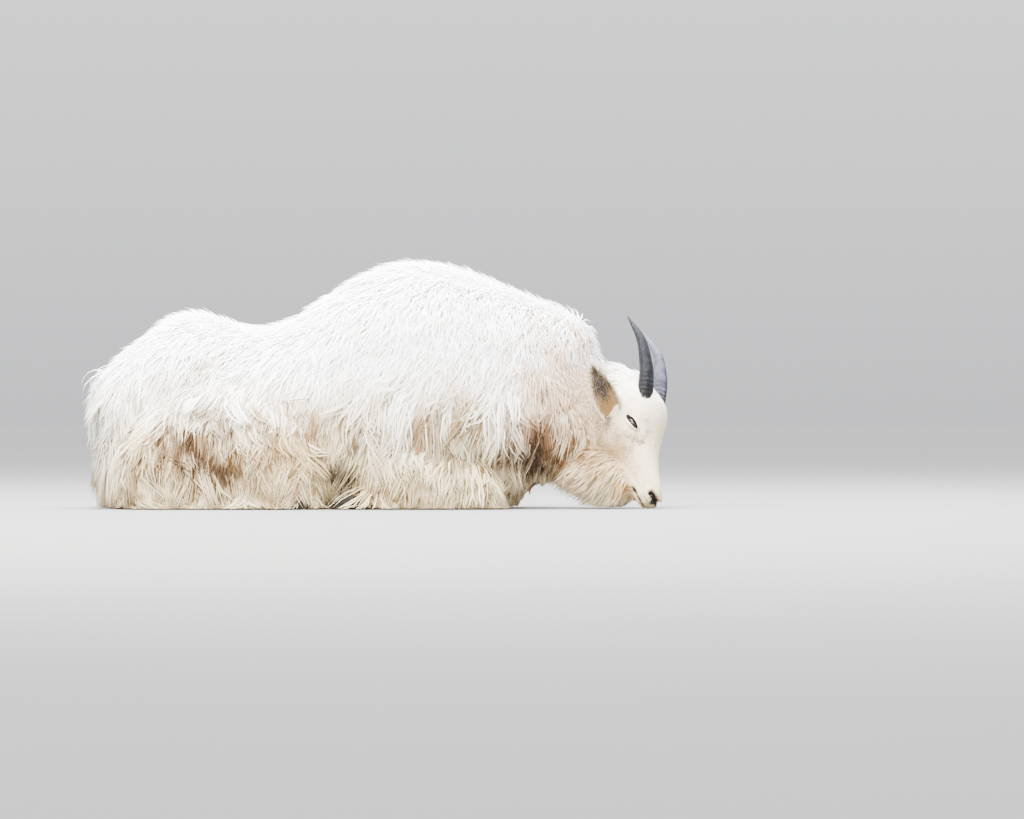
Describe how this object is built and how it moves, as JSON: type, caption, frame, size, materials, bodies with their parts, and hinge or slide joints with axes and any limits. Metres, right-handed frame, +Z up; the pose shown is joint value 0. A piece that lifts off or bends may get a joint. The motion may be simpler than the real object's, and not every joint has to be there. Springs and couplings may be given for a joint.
{
  "type": "mountain goat",
  "caption": "Life-size still mountain goat with a long shaggy coat and slim horns, lying on folded legs with its chin on the ground.",
  "frame": {"origin": "on the ground, under the centre of the whole animal's bounding box", "axes": "+X towards the head, +Y to the animal's left, +Z up"},
  "size_m": [1.3679, 0.5069, 0.5906],
  "materials": {
    "coat": "long soft white fur, creamy below, matt",
    "face": "short cream-white fur, matt",
    "ear": "thin furred skin, tan inside the cup",
    "horn": "slate grey horn, ringed near its base, satin",
    "eye": "wet dark brown eye",
    "hoof": "dark grey-brown hoof horn, dull"
  },
  "bodies": {
    "root": {"torso": "coat", "neck": "coat", "head": "face", "tail": "coat", "horn_right": "horn", "horn_left": "horn", "ear_right": "ear", "ear_left": "ear", "eye_right": "eye", "eye_left": "eye", "leg_fore_right": "coat", "leg_fore_left": "coat", "leg_hind_right": "coat", "leg_hind_left": "coat", "hoof_fore_right_outer": "hoof", "hoof_fore_right_inner": "hoof", "hoof_fore_left_outer": "hoof", "hoof_fore_left_inner": "hoof", "hoof_hind_right_outer": "hoof", "hoof_hind_right_inner": "hoof", "hoof_hind_left_outer": "hoof", "hoof_hind_left_inner": "hoof"}
  },
  "joints": []
}
